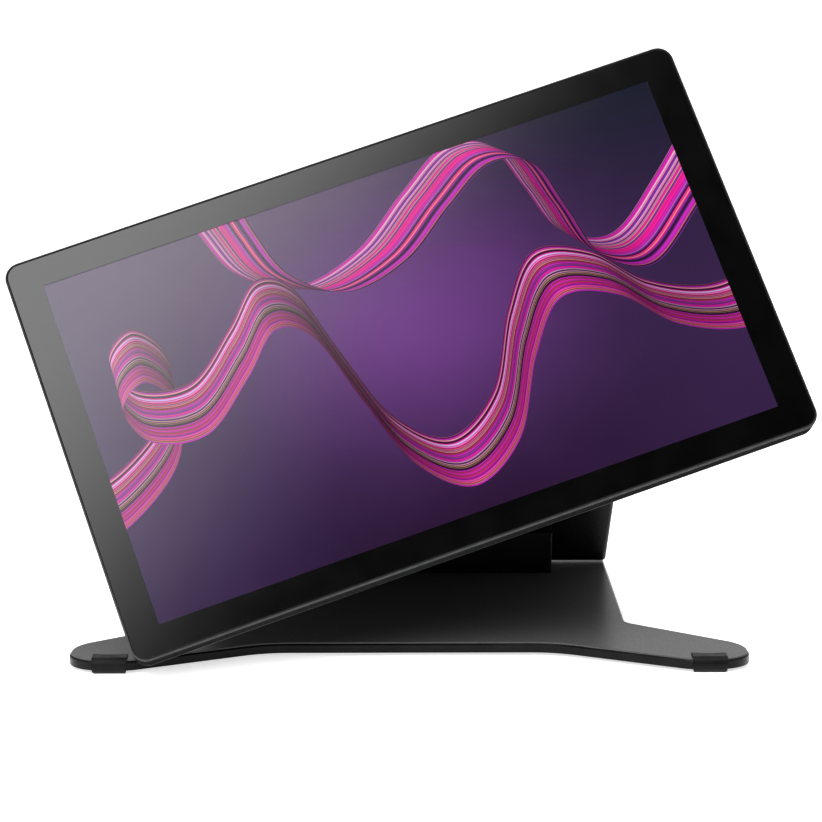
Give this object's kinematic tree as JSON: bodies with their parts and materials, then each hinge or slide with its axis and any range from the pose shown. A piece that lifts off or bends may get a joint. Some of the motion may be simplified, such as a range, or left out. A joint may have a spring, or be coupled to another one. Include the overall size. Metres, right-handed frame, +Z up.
{
  "type": "pen display with stand",
  "caption": "Pen drawing display in a thin dark frame, tilted on an adjustable arm over a flat splayed metal base with rubber feet.",
  "frame": {"origin": "on the desk under the middle of the overall box in the stored pose", "axes": "+X to the user's right, +Y away from the user, +Z up"},
  "size_m": [0.4782, 0.2938, 0.3551],
  "materials": {
    "base_paint": "satin",
    "base_texture": "matte",
    "foot_rubber": "matte",
    "black_casting": "satin",
    "arm_cover": "matte",
    "fastener": "satin",
    "pin_steel": "satin",
    "slide_polymer": "matte",
    "etched_glass": "satin",
    "bezel_print": "satin",
    "picture": "satin",
    "diffuser_film": "satin",
    "light_guide": "gloss",
    "led_board": "matte",
    "sheet_steel": "satin",
    "circuit_board": "satin",
    "edge_metal": "satin",
    "rear_moulding": "matte",
    "vent_mesh": "matte",
    "chassis_metal": "satin",
    "chip_black": "matte",
    "spreader_metal": "satin",
    "port_shell": "satin",
    "button_cap": "satin"
  },
  "bodies": {
    "base": {"base_plate": "base_paint", "base_top_sheet": "base_texture", "front_foot_left": "foot_rubber", "front_foot_right": "foot_rubber", "rear_foot_left": "foot_rubber", "rear_foot_right": "foot_rubber", "hinge_bracket_left": "black_casting", "hinge_bracket_right": "black_casting", "base_screws": "fastener", "hinge_cover": "arm_cover", "arm_base_pin": "pin_steel", "link_base_pin": "pin_steel"},
    "arm": {"arm_frame": "black_casting", "arm_rear_cover": "arm_cover", "arm_front_cover": "arm_cover", "arm_cover_screws": "fastener", "arm_friction_washers": "pin_steel"},
    "link": {"parallel_link": "black_casting"},
    "head": {"head_block": "black_casting", "tilt_pin": "pin_steel", "arm_head_pin": "pin_steel", "link_head_pin": "pin_steel"},
    "cradle": {"tilt_cradle": "black_casting", "tilt_spring_washers": "pin_steel"},
    "screen": {"pivot_hub": "black_casting", "hub_screws": "fastener", "slide_washer": "slide_polymer", "roll_spring_washer": "pin_steel", "hub_retaining_ring": "pin_steel", "cover_glass": "etched_glass", "bezel_mask": "bezel_print", "lcd_panel": "picture", "optical_films": "diffuser_film", "light_guide": "light_guide", "led_strip": "led_board", "backlight_tray": "sheet_steel", "pen_sensor_board": "circuit_board", "sensor_shield": "sheet_steel", "edge_frame": "edge_metal", "rear_cover": "rear_moulding", "cover_screws": "fastener", "vent_screens": "vent_mesh", "chassis": "chassis_metal", "main_board": "circuit_board", "board_chips": "chip_black", "heat_spreader": "spreader_metal", "power_board": "circuit_board", "panel_driver_board": "circuit_board", "mount_backplate": "sheet_steel", "video_port": "port_shell", "data_port": "port_shell", "power_port": "port_shell", "key_board_left": "circuit_board", "key_board_right": "circuit_board", "power_switch": "chip_black"},
    "power_button": {"power_button": "button_cap"},
    "key_upper_left": {"key_upper_left": "button_cap"},
    "key_lower_left": {"key_lower_left": "button_cap"},
    "key_upper_right": {"key_upper_right": "button_cap"},
    "key_lower_right": {"key_lower_right": "button_cap"}
  },
  "joints": [
    {"name": "arm_lift", "type": "hinge", "parent": "base", "child": "arm", "pos_m": [0, 0.1231, 0.0164], "axis": [-1, 0, 0], "range_deg": [0, 35]},
    {"name": "link_swing", "type": "hinge", "parent": "base", "child": "link", "pos_m": [0, 0.1356, 0.0254], "axis": [-1, 0, 0], "range_deg": [0, 35]},
    {"name": "head_level", "type": "hinge", "parent": "arm", "child": "head", "pos_m": [0, -0.0246, 0.14525], "axis": [-1, 0, 0], "range_deg": [-35, 0]},
    {"name": "screen_tilt", "type": "hinge", "parent": "head", "child": "cradle", "pos_m": [0, -0.0311, 0.1667], "axis": [-1, 0, 0], "range_deg": [0, 46]},
    {"name": "screen_roll", "type": "hinge", "parent": "cradle", "child": "screen", "pos_m": [0, -0.0512, 0.17565], "axis": [0, -0.9135, 0.4067], "range_deg": [-39.6, 0.4]},
    {"name": "power_button_press", "type": "slide", "parent": "screen", "child": "power_button", "axis": [0.3355, -0.3832, -0.8606], "range_m": [0, 0.0005], "stiffness_N_per_m": 1500, "springref_m": -0.0004},
    {"name": "key_upper_left_press", "type": "slide", "parent": "screen", "child": "key_upper_left", "axis": [0, -0.9135, 0.4067], "range_m": [0, 0.0006], "stiffness_N_per_m": 1200, "springref_m": -0.0004},
    {"name": "key_lower_left_press", "type": "slide", "parent": "screen", "child": "key_lower_left", "axis": [0, -0.9135, 0.4067], "range_m": [0, 0.0006], "stiffness_N_per_m": 1200, "springref_m": -0.0004},
    {"name": "key_upper_right_press", "type": "slide", "parent": "screen", "child": "key_upper_right", "axis": [0, -0.9135, 0.4067], "range_m": [0, 0.0006], "stiffness_N_per_m": 1200, "springref_m": -0.0004},
    {"name": "key_lower_right_press", "type": "slide", "parent": "screen", "child": "key_lower_right", "axis": [0, -0.9135, 0.4067], "range_m": [0, 0.0006], "stiffness_N_per_m": 1200, "springref_m": -0.0004}
  ],
  "couplings": [
    {"joint": "link_swing", "follows": "arm_lift", "ratio": 1},
    {"joint": "head_level", "follows": "arm_lift", "ratio": -1}
  ]
}
